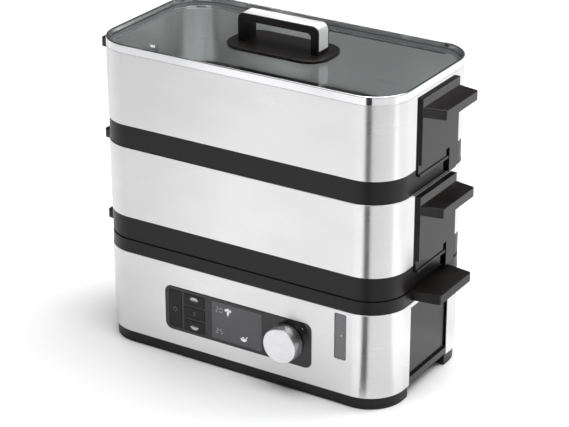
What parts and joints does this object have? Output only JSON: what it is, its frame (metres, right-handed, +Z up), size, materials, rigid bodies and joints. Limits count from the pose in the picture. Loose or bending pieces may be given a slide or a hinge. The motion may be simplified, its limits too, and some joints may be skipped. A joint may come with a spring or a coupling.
{
  "type": "egg cooker",
  "caption": "Tiered electric egg and food steamer: heated base with keys, display and turning knob, lift-off drip tray and steel tiers with grids, glass lid with bridge handle.",
  "frame": {"origin": "on the standing surface, under the middle of the overall width and depth", "axes": "+X along the long side, to the right as seen from the front; the controls face -Y; +Z up"},
  "size_m": [0.345, 0.1694, 0.308],
  "materials": {
    "brushed_steel": "brushed stainless steel, grain along the length",
    "grid_steel": "satin stainless steel",
    "polished_steel": "polished stainless steel",
    "black_plastic": "fine satin texture",
    "panel_plastic": "gloss",
    "key_plastic": "semi-gloss",
    "end_panel_plastic": "semi-gloss grey",
    "clear_glass": "clear tempered glass",
    "display_glass": "tinted display window",
    "display_cell": "liquid crystal cell",
    "window_plastic": "clear plastic",
    "silicone": "matte translucent silicone",
    "foot_rubber": "matte",
    "knob_metal": "satin turned aluminium",
    "heater_metal": "die-cast",
    "tank_plastic": "satin",
    "screw_steel": "zinc plated",
    "circuit_board": "solder mask",
    "component_black": "moulded",
    "component_blue": "moulded",
    "component_yellow": "wrapped",
    "nylon": "satin",
    "encoder_metal": "plated",
    "brass": "bright"
  },
  "bodies": {
    "base": {"base_shell": "brushed_steel", "base_chassis": "black_plastic", "rubber_feet": "foot_rubber", "base_end_panel_right": "end_panel_plastic", "base_end_panel_left": "end_panel_plastic", "base_screws": "screw_steel", "water_tank": "tank_plastic", "window_well": "tank_plastic", "heater_plate": "heater_metal", "heater_seal": "silicone", "heater_screws": "screw_steel", "thermostat": "encoder_metal", "thermal_fuse": "brass", "water_window_lens": "window_plastic", "water_window_gasket": "silicone", "control_panel": "panel_plastic", "display_lens": "display_glass", "display_module": "display_cell", "control_board": "circuit_board", "board_screws": "screw_steel", "key_switches": "component_black", "rotary_encoder": "encoder_metal", "power_board": "circuit_board", "power_relay": "component_blue", "power_capacitor": "component_yellow", "power_transformer": "component_black", "cord_terminals": "nylon", "cord_gland": "nylon", "gland_nut": "nylon"},
    "drip_tray": {"drip_tray": "black_plastic"},
    "lower_tier": {"lower_tier_shell": "brushed_steel", "lower_tier_band": "black_plastic", "lower_tier_handle_right": "black_plastic", "lower_tier_handle_left": "black_plastic", "lower_tier_screws": "screw_steel"},
    "lower_grid": {"lower_grid": "grid_steel"},
    "upper_tier": {"upper_tier_shell": "brushed_steel", "upper_tier_band": "black_plastic", "upper_tier_handle_right": "black_plastic", "upper_tier_handle_left": "black_plastic", "upper_tier_screws": "screw_steel"},
    "upper_grid": {"upper_grid": "grid_steel"},
    "lid": {"lid_frame": "polished_steel", "lid_seal": "silicone", "lid_glass": "clear_glass", "lid_handle_plate": "black_plastic", "lid_handle_grip": "black_plastic", "lid_handle_trim": "polished_steel", "lid_handle_screws": "screw_steel", "lid_handle_washers": "silicone"},
    "power_key": {"power_key": "key_plastic"},
    "upper_tier_key": {"upper_tier_key": "key_plastic"},
    "menu_key": {"menu_key": "key_plastic"},
    "lower_tier_key": {"lower_tier_key": "key_plastic"},
    "knob_plunger": {"encoder_plunger": "nylon"},
    "knob": {"encoder_shaft": "encoder_metal", "knob_cap": "knob_metal", "knob_hub": "nylon"}
  },
  "joints": [
    {"name": "drip_tray_lift", "type": "slide", "parent": "base", "child": "drip_tray", "axis": [0, 0, 1], "range_m": [0, 0.15]},
    {"name": "lower_tier_lift", "type": "slide", "parent": "drip_tray", "child": "lower_tier", "axis": [0, 0, 1], "range_m": [0, 0.15]},
    {"name": "lower_grid_lift", "type": "slide", "parent": "lower_tier", "child": "lower_grid", "axis": [0, 0, 1], "range_m": [0, 0.06]},
    {"name": "upper_tier_lift", "type": "slide", "parent": "lower_tier", "child": "upper_tier", "axis": [0, 0, 1], "range_m": [0, 0.15]},
    {"name": "upper_grid_lift", "type": "slide", "parent": "upper_tier", "child": "upper_grid", "axis": [0, 0, 1], "range_m": [0, 0.06]},
    {"name": "lid_lift", "type": "slide", "parent": "upper_tier", "child": "lid", "axis": [0, 0, 1], "range_m": [0, 0.15]},
    {"name": "power_key_press", "type": "slide", "parent": "base", "child": "power_key", "axis": [0, 1, 0], "range_m": [0, 0.0006], "stiffness_N_per_m": 400, "springref_m": -0.0015},
    {"name": "upper_tier_key_press", "type": "slide", "parent": "base", "child": "upper_tier_key", "axis": [0, 1, 0], "range_m": [0, 0.0006], "stiffness_N_per_m": 400, "springref_m": -0.0015},
    {"name": "menu_key_press", "type": "slide", "parent": "base", "child": "menu_key", "axis": [0, 1, 0], "range_m": [0, 0.0006], "stiffness_N_per_m": 400, "springref_m": -0.0015},
    {"name": "lower_tier_key_press", "type": "slide", "parent": "base", "child": "lower_tier_key", "axis": [0, 1, 0], "range_m": [0, 0.0006], "stiffness_N_per_m": 400, "springref_m": -0.0015},
    {"name": "knob_press", "type": "slide", "parent": "base", "child": "knob_plunger", "axis": [0, 1, 0], "range_m": [0, 0.0006], "stiffness_N_per_m": 900, "springref_m": -0.0015},
    {"name": "knob_turn", "type": "hinge", "parent": "knob_plunger", "child": "knob", "pos_m": [0.0514, -0.07095, 0.0475], "axis": [0, -1, 0], "continuous": true}
  ]
}
